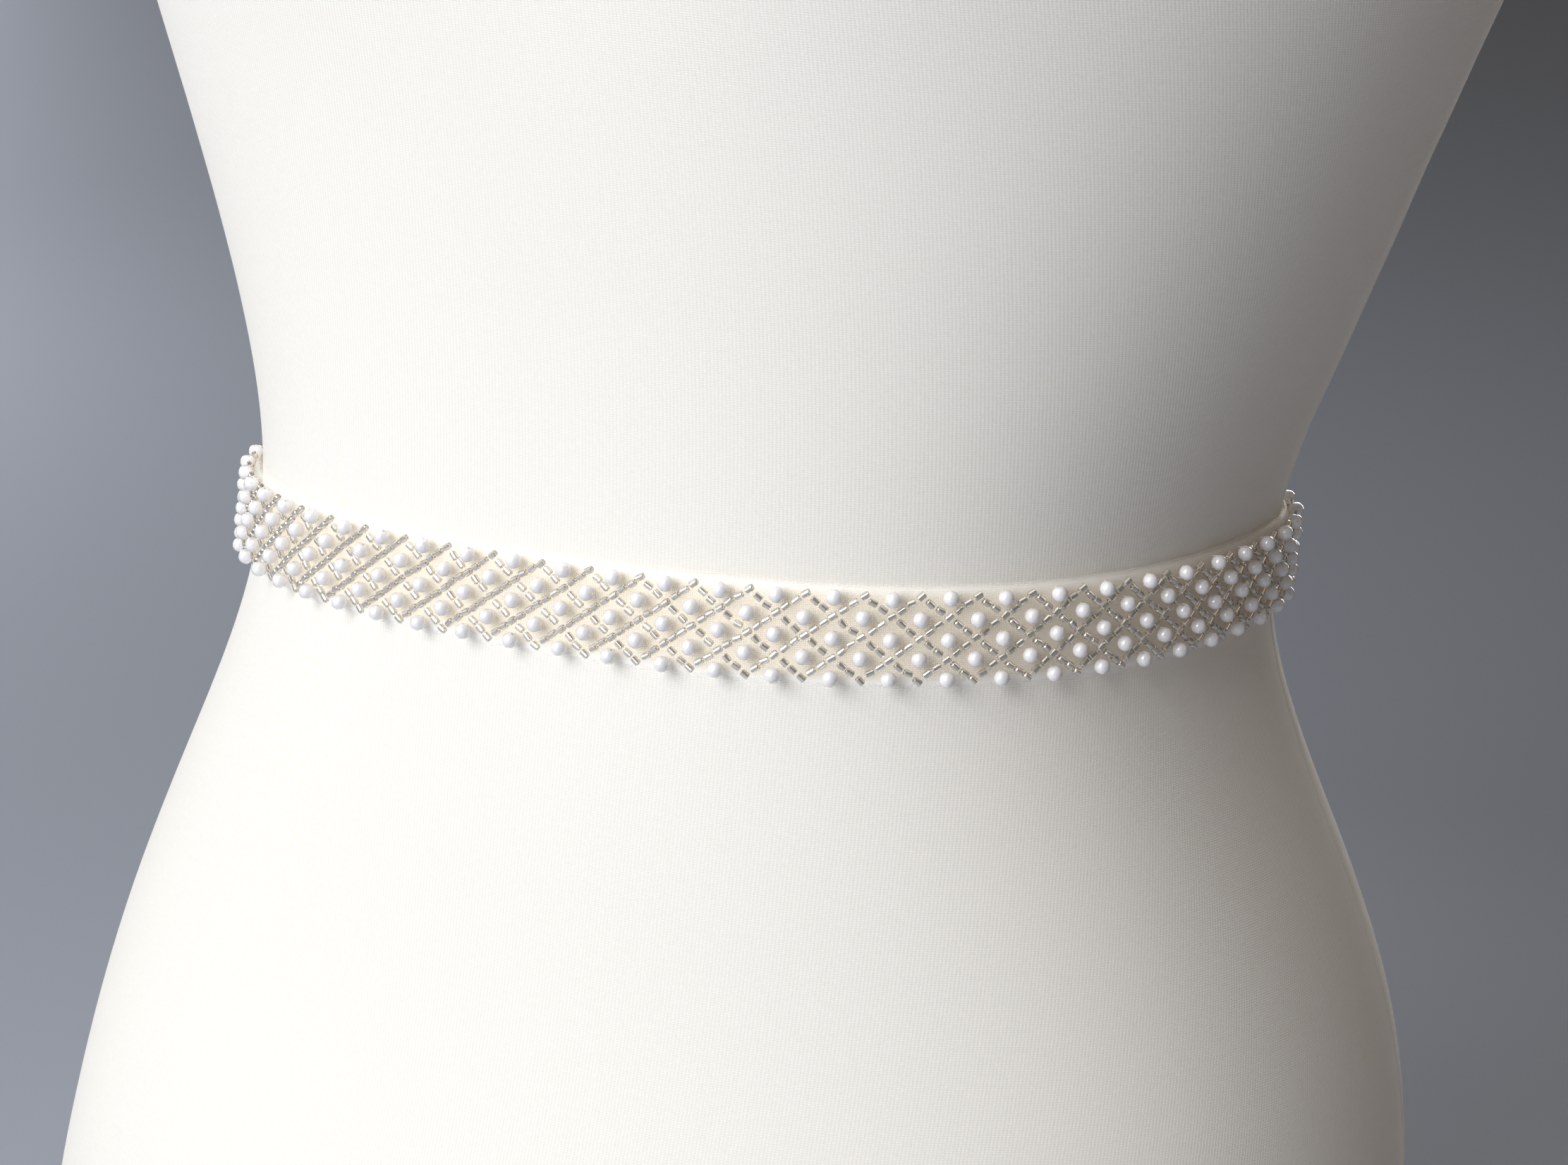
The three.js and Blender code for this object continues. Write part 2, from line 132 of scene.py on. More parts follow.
def apply_modifier(piece, kind, **settings):
    choose_only(piece)
    modifier = piece.modifiers.new(kind.lower(), kind)
    for name, value in settings.items():
        setattr(modifier, name, value)
    bpy.ops.object.modifier_apply(modifier=modifier.name)


def named_piece(name):
    """Takes the primitive that was just added, names it and moves its place into its mesh."""
    piece = bpy.context.object
    piece.name = piece.data.name = name
    bpy.ops.object.transform_apply()
    return piece


def copies_joined(pattern, places, name):
    """One copy of the pattern at each place, each with its own mesh, joined to one piece."""
    bpy.ops.object.select_all(action="DESELECT")
    for place in places:
        copy = bpy.data.objects.new(name, pattern.data.copy())
        copy.data.transform(place)
        bpy.context.scene.collection.objects.link(copy)
        copy.select_set(True)
    bpy.context.view_layer.objects.active = copy
    bpy.ops.object.join()
    joined = bpy.context.object
    joined.name = joined.data.name = name
    print(name, len(places), "copies,", len(joined.data.polygons), "faces")
    return joined


def discard(piece):
    bpy.data.meshes.remove(piece.data)


def dress(piece, materials, replaced):
    """Gives a finished piece its materials, hangs it from the root and hides the solids it stands in for.
    """
    piece.data.materials.clear()
    for material in materials:
        piece.data.materials.append(material)
    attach(piece, "root")
    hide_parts(*replaced)

# %% [markdown]
# ## Materials from the real ones
#
# Every material here starts from what the real one is. Colours are written as the sRGB hex codes
# that a paint program shows, and one function turns them to the linear values that Blender mixes.
# Patterns read a UV map in metres, so that a stitch 0.75 mm wide is 0.75 mm wide everywhere.

# %% Helpers for materials
def colour(code):
    """An sRGB hex code as linear red, green, blue and alpha."""
    parts = [int(code[i:i + 2], 16) / 255 for i in (1, 3, 5)]
    linear = [c / 12.92 if c <= 0.04045 else ((c + 0.055) / 1.055) ** 2.4 for c in parts]
    return (*linear, 1)


def add_node(tree, kind, inputs=None, **settings):
    """Adds a node. Each input is a value, or the socket that is linked to it."""
    node = tree.nodes.new(kind)
    for name, value in settings.items():
        setattr(node, name, value)
    for name, value in (inputs or {}).items():
        if isinstance(value, bpy.types.NodeSocket):
            tree.links.new(value, node.inputs[name])
        else:
            node.inputs[name].default_value = value
    return node


def new_material(name):
    material = bpy.data.materials.new(name)
    material.use_nodes = True
    return material, material.node_tree, material.node_tree.nodes["Principled BSDF"]


def set_shader(tree, shader, **inputs):
    for name, value in inputs.items():
        socket = shader.inputs[name.replace("_", " ")]
        if isinstance(value, bpy.types.NodeSocket):
            tree.links.new(value, socket)
        else:
            socket.default_value = value


def yarn_wave(tree, place, spacing):
    """A wave across a cloth: 0 between two yarns and 1 on the crown of each."""
    turn = add_node(tree, "ShaderNodeMath", {0: place, 1: math.pi / spacing}, operation="MULTIPLY")
    wave = add_node(tree, "ShaderNodeMath", {0: turn.outputs[0]}, operation="SINE")
    return add_node(tree, "ShaderNodeMath", {0: wave.outputs[0]}, operation="ABSOLUTE").outputs[0]

# %% [markdown]
# ### Cotton jersey
#
# A dress form is covered in a plain knitted cotton that stretches over its curves. Seen close, the
# knit shows as upright columns of loops, 0.75 mm apart, crossed by rows 0.45 mm apart. Each loop is
# a small bump, so the pattern is the product of two waves: it lifts the surface a little, and the
# hollows between the loops are given a darker colour, which is painted shade. A slow noise makes
# the yarn uneven, as cotton is. Cloth has no clear shine, so it is rough with a touch of sheen, and
# its IOR is that of cellulose, 1.53.

# %% Cotton jersey
LOOP_WIDTH = 0.75 * MM
LOOP_HEIGHT = 0.45 * MM
LOOP_WANDER = 0.1 * MM

jersey, tree, shader = new_material("cotton_jersey")
cloth_place = add_node(tree, "ShaderNodeUVMap", uv_map="cloth")
wander = add_node(tree, "ShaderNodeTexNoise", {
    "Vector": cloth_place.outputs[0], "Scale": 260, "Detail": 2,
})
wander_small = add_node(tree, "ShaderNodeVectorMath", {
    0: wander.outputs["Color"], "Scale": LOOP_WANDER,
}, operation="SCALE")
yarn_place = add_node(tree, "ShaderNodeVectorMath", {
    0: cloth_place.outputs[0], 1: wander_small.outputs[0],
}, operation="ADD")
split = add_node(tree, "ShaderNodeSeparateXYZ", {"Vector": yarn_place.outputs[0]})
columns = yarn_wave(tree, split.outputs["X"], LOOP_WIDTH)
rows = yarn_wave(tree, split.outputs["Y"], LOOP_HEIGHT)
loops = add_node(tree, "ShaderNodeMath", {0: columns, 1: rows}, operation="MULTIPLY")
slubs = add_node(tree, "ShaderNodeTexNoise", {
    "Vector": cloth_place.outputs[0], "Scale": 900, "Detail": 1,
})
# The hollows between the loops get the darker colour: painted shade. The slubs add the yarn's own uneven
# tone.
slubs_and_hollow_shade = add_node(tree, "ShaderNodeMath", {
    0: slubs.outputs[0], 1: 0.35, 2: loops.outputs[0],
}, operation="MULTIPLY_ADD")
jersey_tone = add_node(tree, "ShaderNodeMix", {
    "Factor": slubs_and_hollow_shade.outputs[0], "A": colour("#e9e6de"), "B": colour("#f8f6f1"),
}, data_type="RGBA")
jersey_bump = add_node(tree, "ShaderNodeBump", {
    "Height": slubs_and_hollow_shade.outputs[0], "Strength": 0.5, "Distance": 0.06 * MM,
})
set_shader(
    tree, shader, Base_Color=jersey_tone.outputs["Result"], Normal=jersey_bump.outputs[0],
    Roughness=0.85, IOR=1.53, Sheen_Weight=0.12, Sheen_Roughness=0.5, Specular_IOR_Level=0.25,
)

# %% [markdown]
# ### Nylon organza
#
# Organza is a stiff, sheer plain weave of fine nylon yarn. Light goes through the gaps between the
# yarns and is scattered by the yarns themselves, so it looks like a white haze over what is behind
# it. Glass would be the wrong start, because nothing is bent: the cloth is simply there or not
# there. So the weave drives alpha. The real yarns are 0.2 mm apart, which is too fine to show, and
# they are drawn 0.4 mm apart. Under the beads the cloth is painted cream. This is painted shade for
# the shadow that the tubes and the ribbon itself do not cast, and the warm light that the beads
# throw back on it. Its woven edges, which stay bare, are white. Nylon has an IOR of 1.53.

# %% Nylon organza
YARN_SPACING = 0.4 * MM
BEADED_FROM = 7.6 * MM
BEADED_TO = 9 * MM
WOVEN_EDGE = 9.3 * MM
CLOTH_TOP = 10 * MM
CLOTH_BOTTOM = -10.2 * MM

organza, tree, shader = new_material("nylon_organza")
ribbon_place = add_node(tree, "ShaderNodeUVMap", uv_map="cloth")
split = add_node(tree, "ShaderNodeSeparateXYZ", {"Vector": ribbon_place.outputs[0]})
warp = yarn_wave(tree, split.outputs["X"], YARN_SPACING)
weft = yarn_wave(tree, split.outputs["Y"], YARN_SPACING)
weave = add_node(tree, "ShaderNodeMath", {0: warp, 1: weft}, operation="MAXIMUM")
height = add_node(tree, "ShaderNodeMath", {0: split.outputs["Y"]}, operation="ABSOLUTE")
bare = add_node(tree, "ShaderNodeMapRange", {
    "Value": height.outputs[0], "From Min": BEADED_FROM, "From Max": BEADED_TO,
})
edge = add_node(tree, "ShaderNodeMapRange", {
    "Value": height.outputs[0], "From Min": WOVEN_EDGE, "From Max": CLOTH_TOP,
    "To Min": 1.0, "To Max": 0.35,
})
density = add_node(tree, "ShaderNodeMapRange", {
    "Value": weave.outputs[0], "To Min": 0.12, "To Max": 0.34,
})
bare_dense = add_node(tree, "ShaderNodeMath", {
    0: bare.outputs[0], 1: 0.04, 2: density.outputs[0],
}, operation="MULTIPLY_ADD")
soft_edge = add_node(tree, "ShaderNodeMath", {
    0: edge.outputs[0], 1: bare_dense.outputs[0],
}, operation="MULTIPLY")
# Cream where the beads lie is painted shade and bounced light. The bare edges stay white.
organza_cream_bead_shade = add_node(tree, "ShaderNodeMix", {
    "Factor": bare.outputs[0], "A": colour("#e8decd"), "B": colour("#fdfcfa"),
}, data_type="RGBA")
organza_bump = add_node(tree, "ShaderNodeBump", {
    "Height": weave.outputs[0], "Strength": 0.3, "Distance": 0.05 * MM,
})
set_shader(
    tree, shader, Alpha=soft_edge.outputs[0], Normal=organza_bump.outputs[0],
    Base_Color=organza_cream_bead_shade.outputs["Result"], Roughness=0.45, IOR=1.53, Sheen_Weight=0.2,
    Sheen_Roughness=0.3,
)

# %% [markdown]
# ### Imitation pearl
#
# These pearls are plastic beads dipped in pearl lacquer. The lacquer holds flat flakes, so the bead
# has two highlights: a wide soft one from the flakes and a small sharp one from the clear coat on
# top. The body is a cool white, and light travels a little way into it, so its shaded side glows.
# Towards the rim the colour is painted ivory, a painted reflection of the ivory cloth round the bead.

# %% Imitation pearl
pearl_lacquer, tree, shader = new_material("imitation_pearl")
bead_spot = add_node(tree, "ShaderNodeTexCoord")
flakes = add_node(tree, "ShaderNodeTexNoise", {"Vector": bead_spot.outputs["Object"], "Scale": 300})
pearl_tone = add_node(tree, "ShaderNodeMix", {
    "Factor": flakes.outputs[0], "A": colour("#edecf2"), "B": colour("#f8f7fb"),
}, data_type="RGBA")
# Ivory at the rim is a painted reflection of the cloth round the bead.
facing = add_node(tree, "ShaderNodeLayerWeight", {"Blend": 0.3})
pearl_rim_painted_reflection = add_node(tree, "ShaderNodeMix", {
    "Factor": facing.outputs["Facing"], "A": pearl_tone.outputs["Result"], "B": colour("#f0ebe2"),
}, data_type="RGBA")
set_shader(
    tree, shader, Base_Color=pearl_rim_painted_reflection.outputs["Result"], Roughness=0.28, IOR=1.5, Coat_Weight=1.0,
    Coat_Roughness=0.06, Coat_IOR=1.8, Specular_IOR_Level=0.8, Subsurface_Weight=0.8,
    Subsurface_Scale=0.8 * MM, Subsurface_Radius=(1, 1, 1),
)

# %% [markdown]
# ### Silver-lined glass
#
# The tubes are clear soda-lime glass, IOR 1.52, with a mirror of silver on the wall of the hole.
# The glass magnifies the lining until it fills the width of the tube, so from the side one sees a
# bright metal under a clear coat. It flashes white where it mirrors the window and goes nearly
# black where it mirrors the dark room. Its colour has a warm tint, a painted reflection of the ivory
# cloth round it, and a noise varies it as tarnish does. Along the two sides the eye looks through
# the thickest glass and past the lining, so a Layer Weight node paints the metal dark brown there,
# a painted dark reflection. The two rims are glass alone. Real refraction would need a very long
# render to get light in and out of a thousand tubes, so the rims are a glossy film that lets half
# of what lies behind show through. They are painted grey-brown, as painted shade for the dark that
# the glass ends let through and the shadow that the tubes do not cast.

# %% Silver-lined glass
silver_lined, tree, shader = new_material("silver_lined_glass")
mirror_spot = add_node(tree, "ShaderNodeTexCoord")
tarnish = add_node(tree, "ShaderNodeTexNoise", {"Vector": mirror_spot.outputs["Object"], "Scale": 1200})
# The warm tint is a painted reflection of the ivory cloth. The noise is tarnish.
silver_tarnish_and_warm_reflection = add_node(tree, "ShaderNodeMix", {
    "Factor": tarnish.outputs[0], "A": colour("#ddd5c8"), "B": colour("#fbf8f2"),
}, data_type="RGBA")
drawn_bump = add_node(tree, "ShaderNodeBump", {
    "Height": tarnish.outputs[0], "Strength": 0.35, "Distance": 0.04 * MM,
})
# Dark brown along the tube's sides: a painted dark reflection.
grazing = add_node(tree, "ShaderNodeLayerWeight", {"Blend": 0.5})
grazing_painted_dark = add_node(tree, "ShaderNodeMapRange", {
    "Value": grazing.outputs["Facing"], "From Min": 0.5, "From Max": 0.8,
})
silver_with_painted_dark_sides = add_node(tree, "ShaderNodeMix", {
    "Factor": grazing_painted_dark.outputs[0], "A": silver_tarnish_and_warm_reflection.outputs["Result"], "B": colour("#75664f"),
}, data_type="RGBA")
set_shader(
    tree, shader, Base_Color=silver_with_painted_dark_sides.outputs["Result"], Metallic=0.78, Roughness=0.18,
    Coat_Weight=1.0, Coat_Roughness=0.03, Coat_IOR=1.52, Normal=drawn_bump.outputs[0],
)

clear_glass, tree, shader = new_material("soda_lime_glass")
rim_spot = add_node(tree, "ShaderNodeTexCoord")
streaks = add_node(tree, "ShaderNodeTexNoise", {"Vector": rim_spot.outputs["Object"], "Scale": 1500})
# The grey-brown is painted shade: the dark that the glass ends let through and the shadow the tubes do not
# cast.
rim_streaks_and_painted_shade = add_node(tree, "ShaderNodeMix", {
    "Factor": streaks.outputs[0], "A": colour("#857a6c"), "B": colour("#b9b0a1"),
}, data_type="RGBA")
set_shader(tree, shader, Base_Color=rim_streaks_and_painted_shade.outputs["Result"], Roughness=0.06, IOR=1.52, Alpha=0.5)

# %% [markdown]
# ### Thread and wire
#
# The sewing thread is white spun polyester, matt and slightly fuzzy. The hooks and eyes at the back
# are brass wire plated with nickel, a warm grey metal that is polished by tumbling.

# %% Thread and wire
thread_white, tree, shader = new_material("polyester_thread")
thread_place = add_node(tree, "ShaderNodeTexCoord")
fuzz = add_node(tree, "ShaderNodeTexNoise", {"Vector": thread_place.outputs["Object"], "Scale": 4000})
thread_tone = add_node(tree, "ShaderNodeMix", {
    "Factor": fuzz.outputs[0], "A": colour("#e2dfd7"), "B": colour("#faf8f3"),
}, data_type="RGBA")
set_shader(tree, shader, Base_Color=thread_tone.outputs["Result"], Roughness=0.6, IOR=1.58)

nickel, tree, shader = new_material("nickel_plated_wire")
wire_place = add_node(tree, "ShaderNodeTexCoord")
tumbled = add_node(tree, "ShaderNodeTexNoise", {"Vector": wire_place.outputs["Object"], "Scale": 900})
wire_polish = add_node(tree, "ShaderNodeMapRange", {
    "Value": tumbled.outputs[0], "To Min": 0.18, "To Max": 0.34,
})
set_shader(
    tree, shader, Base_Color=colour("#bdb8ae"), Metallic=1.0, Roughness=wire_polish.outputs[0],
)

# %% [markdown]
# ## The cover of the form
#
# The solid torso has flat facets. A dress form could be sculpted again from nothing, but its solid
# already has the right shape, so a copy of it is smoothed: its loose triangles are merged and
# paired to quads, and a Subdivision Surface modifier rounds it. The copy keeps the solid's place.
# The same helper serves the bent wires later on.

# %% Smooth copy of the torso
SAME_PLACE = 0.01 * MM


def smooth_copy(node, name, fatten=0.0):
    piece = bpy.data.objects.new(name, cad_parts[node].data.copy())
    piece.data.name = name
    bpy.context.scene.collection.objects.link(piece)
    for layer in list(piece.data.uv_layers):
        piece.data.uv_layers.remove(layer)
    choose_only(piece)
    bpy.ops.object.mode_set(mode="EDIT")
    bpy.ops.mesh.select_all(action="SELECT")
    bpy.ops.mesh.remove_doubles(threshold=SAME_PLACE)
    bpy.ops.mesh.customdata_custom_splitnormals_clear()
    bpy.ops.mesh.tris_convert_to_quads()
    bpy.ops.object.mode_set(mode="OBJECT")
    apply_modifier(piece, "SUBSURF", levels=2, render_levels=2)
    if fatten:
        edit_faces(piece, lambda face: True, lambda: bpy.ops.transform.shrink_fatten(value=fatten))
    bpy.ops.object.shade_smooth()
    print(name, len(piece.data.polygons), "faces")
    return piece


cover = smooth_copy("form_torso", "form_cover")

# %% [markdown]
# The knit has to run upright on the form, with its columns evenly spaced all the way round. No
# projection does that, so the UV map is measured: on each level ring of the mesh, the distance
# from the middle of the front is added up point by point. The two halves meet at the back.

# %% Measure the cloth's own map round the cover
LEVEL = 0.02 * MM


def rings_of(mesh):
    """The mesh's points in level rings, each in order round the form, starting at the back."""
    by_height = {}
    for vertex in mesh.vertices:
        by_height.setdefault(round(vertex.co.z / LEVEL), []).append(vertex.index)
    for indices in by_height.values():
        yield sorted(indices, key=lambda i: math.atan2(
            mesh.vertices[i].co.x, waist_centre.y - mesh.vertices[i].co.y,
        ))


def map_cloth(piece, length_at):
    """A UV map in metres: length_at gives each point's distance round from the middle of the front."""
    layer = piece.data.uv_layers.new(name="cloth")
    for face in piece.data.polygons:
        for loop in face.loop_indices:
            index = piece.data.loops[loop].vertex_index
            length = length_at[index]
            if length * face.center.x < 0 and abs(length) > LOOP_WIDTH:
                length = -length
            layer.data[loop].uv = (length, piece.data.vertices[index].co.z)


cover_lengths = {}
for ring in rings_of(cover.data):
    points = [cover.data.vertices[i].co for i in ring]
    front = min(range(len(ring)), key=lambda i: (abs(points[i].x) > MM / 1000, points[i].y))
    for way in (1, -1):
        run = 0.0
        last = points[front]
        for i in range(front, len(ring) if way > 0 else -1, way):
            run += (points[i] - last).length
            last = points[i]
            cover_lengths[ring[i]] = way * run
map_cloth(cover, cover_lengths)
dress(cover, [jersey], ["form_torso"])
cover_skin = BVHTree.FromObject(cover, bpy.context.evaluated_depsgraph_get())
print("cover is", round(max(cover_lengths.values()) * 2 / MM), "mm round at its widest")

# %% [markdown]
# ## Side seams
#
# The cover is sewn from a front and a back panel, and the seam between them runs down each side, a
# little behind the widest line. On the outside it shows as a fine groove between two soft swells,
# where the seam allowances lie underneath. A crease in a material would vanish at the outline, so
# the seam is a narrow strip of its own, laid on the cover and sunk into it at both edges.

# %% Lay the side seams
SEAM_TURN = math.radians(9)
SEAM_FROM = 6 * MM
SEAM_TO = 668 * MM
# Across the seam and out of the cover, in mm.
SEAM_PROFILE = [
    (-1.9, -0.15), (-1.1, 0.1), (-0.35, 0.2), (0.0, -0.02), (0.35, 0.2), (1.1, 0.1), (1.9, -0.15),
]
SEAM_STEPS = 240
SEAM_STITCH = 2.5 * MM
SEAM_PUCKER = 0.25
SEAM_THICKNESS = 0.5 * MM
RAY_REACH = 0.5
# Where a seam lies in the map of the cloth, in metres from the middle of the front.
SEAM_CLOTH_PLACE = 0.4


def skin_point(turn, height):
    """The point of the cover at a turn from +X round to +Y, and the way out of it."""
    outwards = Vector((math.cos(turn), math.sin(turn), 0))
    start = Vector((waist_centre.x, waist_centre.y, height)) + outwards * RAY_REACH
    point, normal, _, _ = cover_skin.ray_cast(start, -outwards)
    return point, normal


def make_seam(name, turn):
    columns = len(SEAM_PROFILE)
    bpy.ops.mesh.primitive_grid_add(x_subdivisions=columns - 1, y_subdivisions=SEAM_STEPS, size=1)
    seam = named_piece(name)
    lengths = {}
    for vertex in seam.data.vertices:
        across, raised = SEAM_PROFILE[vertex.index % columns]
        height = SEAM_FROM + (SEAM_TO - SEAM_FROM) * (vertex.index // columns) / SEAM_STEPS
        point, normal = skin_point(turn, height)
        beside = Vector((-normal.y, normal.x, 0)).normalized()
        pucker = 1 + SEAM_PUCKER * math.sin(2 * math.pi * height / SEAM_STITCH)
        vertex.co = point + beside * across * MM + normal * raised * pucker * MM
        lengths[vertex.index] = math.copysign(SEAM_CLOTH_PLACE, point.x) + across * MM
    map_cloth(seam, lengths)
    choose_only(seam)
    bpy.ops.object.mode_set(mode="EDIT")
    bpy.ops.mesh.select_all(action="SELECT")
    bpy.ops.mesh.normals_make_consistent(inside=False)
    bpy.ops.object.mode_set(mode="OBJECT")
    apply_modifier(seam, "SOLIDIFY", thickness=SEAM_THICKNESS, offset=-1)
    bpy.ops.object.shade_smooth()
    dress(seam, [jersey], [])


make_seam("side_seam_left", SEAM_TURN)
make_seam("side_seam_right", math.pi - SEAM_TURN)

# %% [markdown]
# ## Where things are on the sash
#
# Everything on the sash is placed by three numbers: how far it is along the ribbon from the middle
# of the front, how high above the ribbon's middle row, and how far out from its inner face. The
# ribbon lies just off the cover and tips a little, its left side higher. Rays cast at the cover all
# the way round give the line that it follows, so nothing here has to be fitted by eye.

# %% Measure the ribbon's line round the waist
RIBBON_TOP = 10.4 * MM
RIBBON_BOTTOM = -9.4 * MM
RIBBON_CLEAR = 0.8 * MM
RIBBON_OUT = 1.2 * MM
RIBBON_RISE = 0.029
PEARL_LINE = 2.7 * MM
BACK_GAP = 5 * MM
ROUND_STEPS = 720
NORMAL_REACH = 4

round_turns = [-math.pi / 2 + 2 * math.pi * i / ROUND_STEPS for i in range(ROUND_STEPS)]
waist_points = [skin_point(turn, WAIST_HEIGHT)[0] for turn in round_turns]
round_marks = []
for i, turn in enumerate(round_turns):
    ahead = waist_points[(i + NORMAL_REACH) % ROUND_STEPS]
    behind = waist_points[i - NORMAL_REACH]
    normal = Vector((ahead.y - behind.y, behind.x - ahead.x, 0)).normalized()
    rise = RIBBON_RISE * waist_points[i].x
    low = skin_point(turn, WAIST_HEIGHT + RIBBON_BOTTOM + rise)[0]
    high = skin_point(turn, WAIST_HEIGHT + RIBBON_TOP + rise)[0]
    round_marks.append((low, high, normal))

pearl_line = [
    waist_points[i] + round_marks[i][2] * (RIBBON_CLEAR + PEARL_LINE) for i in range(ROUND_STEPS)
]
runs = [0.0]
for i in range(ROUND_STEPS):
    runs.append(runs[-1] + (pearl_line[(i + 1) % ROUND_STEPS] - pearl_line[i]).length)
sash_round = runs[-1]
print("sash is", round(sash_round / MM, 1), "mm round, along its pearls")


def sash_place(run, height, out):
    """A place on the sash as a matrix: X runs along the ribbon, Y up it and Z out of it."""
    wrapped = run % sash_round
    i = bisect.bisect_right(runs, wrapped) - 1
    share = (wrapped - runs[i]) / (runs[i + 1] - runs[i])
    here, there = round_marks[i], round_marks[(i + 1) % ROUND_STEPS]
    low, high, normal = (a.lerp(b, share) for a, b in zip(here, there))
    normal.normalize()
    climb = (high - low).normalized()
    along = climb.cross(normal).normalized()
    outward = along.cross(climb)
    lift = (height - RIBBON_BOTTOM) / (RIBBON_TOP - RIBBON_BOTTOM)
    point = low.lerp(high, lift) + normal * (RIBBON_CLEAR + out)
    return Matrix.Translation(point) @ Matrix((along, climb, outward)).transposed().to_4x4()

# %% [markdown]
# ## The ribbon
#
# The ribbon is one flat length of organza. A grid is added flat and then each of its points is
# carried to its place round the waist, the way the real ribbon is wrapped. Its edges lean in
# towards the form and ripple slightly between the points where the beadwork pulls on them. Each
# end is folded over once, 8 mm deep, and sewn down. Solidify gives the sheet its thickness. The
# ribbon casts no shadow: light gets through the open weave, and the hard grey line that a thin
# sheet throws beside its own edge is not seen along real organza.

# %% Wrap the organza
CLOTH_THICKNESS = 0.12 * MM
HEM = 8 * MM
HEM_LIFT = 0.85 * MM
PITCH = 11 * MM
PATTERN_SHIFT = 2.5 * MM
ALONG_STEPS = 540
UP_STEPS = 12
TOP_LEAN = 1.5 * MM
BOTTOM_LEAN = 0.8 * MM
EDGE_RIPPLE = 0.08 * MM
LEAN_FROM = 0.6
# A second, slower ripple: its share of the first one, and its turns in radians a metre.
SLOW_RIPPLE = 0.6
SLOW_TURNS = 97

sash_half = sash_round / 2 - BACK_GAP / 2
cloth_half = sash_half + HEM


def cloth_out(run, height):
    """How far the ribbon's outer face is from the inner face of the solid ribbon."""
    reach = CLOTH_TOP if height > 0 else -CLOTH_BOTTOM
    edge_share = max(0.0, abs(height) / reach - LEAN_FROM) / (1 - LEAN_FROM)
    ripple = math.cos(2 * math.pi * (run - PATTERN_SHIFT) / PITCH)
    ripple += SLOW_RIPPLE * math.sin(run * SLOW_TURNS)
    lean = TOP_LEAN if height > 0 else BOTTOM_LEAN
    return RIBBON_OUT - lean * edge_share ** 2 + EDGE_RIPPLE * edge_share * ripple


bpy.ops.mesh.primitive_grid_add(x_subdivisions=ALONG_STEPS, y_subdivisions=UP_STEPS, size=1)
ribbon = named_piece("organza_ribbon")
flat_layer = ribbon.data.uv_layers.new(name="cloth")
flat_places = {}
for vertex in ribbon.data.vertices:
    along = vertex.co.x * 2 * cloth_half
    height = CLOTH_BOTTOM + (vertex.co.y + 0.5) * (CLOTH_TOP - CLOTH_BOTTOM)
    flat_places[vertex.index] = (along, height)
    past = abs(along) - sash_half
    folded = min(1.0, max(0.0, past / MM + 0.5))
    run = math.copysign(sash_half - abs(past), along) if past > 0 else along
    out = cloth_out(run, height) + HEM_LIFT * folded
    vertex.co = sash_place(run, height, out).translation
for face in ribbon.data.polygons:
    for loop in face.loop_indices:
        flat_layer.data[loop].uv = flat_places[ribbon.data.loops[loop].vertex_index]
apply_modifier(ribbon, "SOLIDIFY", thickness=CLOTH_THICKNESS, offset=-1)
bpy.ops.object.shade_smooth()
dress(ribbon, [organza], ["sash_ribbon"])
ribbon.visible_shadow = False
print("ribbon cut", round(2 * cloth_half / MM), "mm long")

# %% [markdown]
# ## One pearl
#
# A ball is added and its two poles are opened: the small faces at each pole become one, which is
# inset to leave a rim and pushed in to make the mouth of the hole that the thread goes through. The
# hole lies along X here, and each copy is turned later so that it runs across the ribbon. Fewer
# than a hundred faces are enough, because a pearl is only 3 mm across and is shaded smooth.

# %% Model one pearl
PEARL = 3.2 * MM
POLE_FROM = 0.44 * PEARL
HOLE_DEPTH = 0.4 * MM
HOLE_RIM = 0.42 * MM

bpy.ops.mesh.primitive_uv_sphere_add(
    segments=10, ring_count=7, radius=PEARL / 2, rotation=(0, math.pi / 2, 0),
)
pearl = named_piece("pearl")
for side in (1, -1):
    def at_pole(face):
        return face.center.x * side > POLE_FROM

    edit_faces(
        pearl, at_pole,
        lambda: bpy.ops.mesh.dissolve_faces(),
        lambda: bpy.ops.mesh.inset(thickness=HOLE_RIM, use_even_offset=False),
        lambda: bpy.ops.mesh.extrude_region_move(
            TRANSFORM_OT_translate={"value": (-side * HOLE_DEPTH, 0, 0)},
        ),
    )
choose_only(pearl)
bpy.ops.object.shade_smooth_by_angle(angle=math.radians(50))
print("one pearl:", len(pearl.data.polygons), "faces")

# %% [markdown]
# ## One glass tube
#
# A short cylinder is added lying along X. Its two ends are inset and joined by a bridge, which cuts
# the hole, and the outer rims are bevelled, because cut glass tubes are tumbled until their edges
# are soft. The rims and ends are clear glass, and the walls between them are silver-lined.

# %% Model one glass tube
TUBE = 1.38 * MM
TUBE_LENGTH = 1.68 * MM
TUBE_WALL = 0.2 * MM
TUBE_RIM = 0.13 * MM

bpy.ops.mesh.primitive_cylinder_add(
    vertices=10, radius=TUBE / 2, depth=TUBE_LENGTH, rotation=(0, math.pi / 2, 0),
)
tube = named_piece("tube")
edit_faces(
    tube, lambda face: abs(face.normal.x) > 0.9,
    lambda: bpy.ops.mesh.inset(thickness=TUBE_WALL),
    lambda: bpy.ops.mesh.bridge_edge_loops(),
)


def from_axis(face):
    return math.hypot(face.center.y, face.center.z)


def is_wall(face):
    return abs(face.normal.x) < 0.1


def bevel_rims():
    bpy.ops.mesh.region_to_loop()
    bpy.ops.mesh.bevel(offset=TUBE_RIM, segments=1)


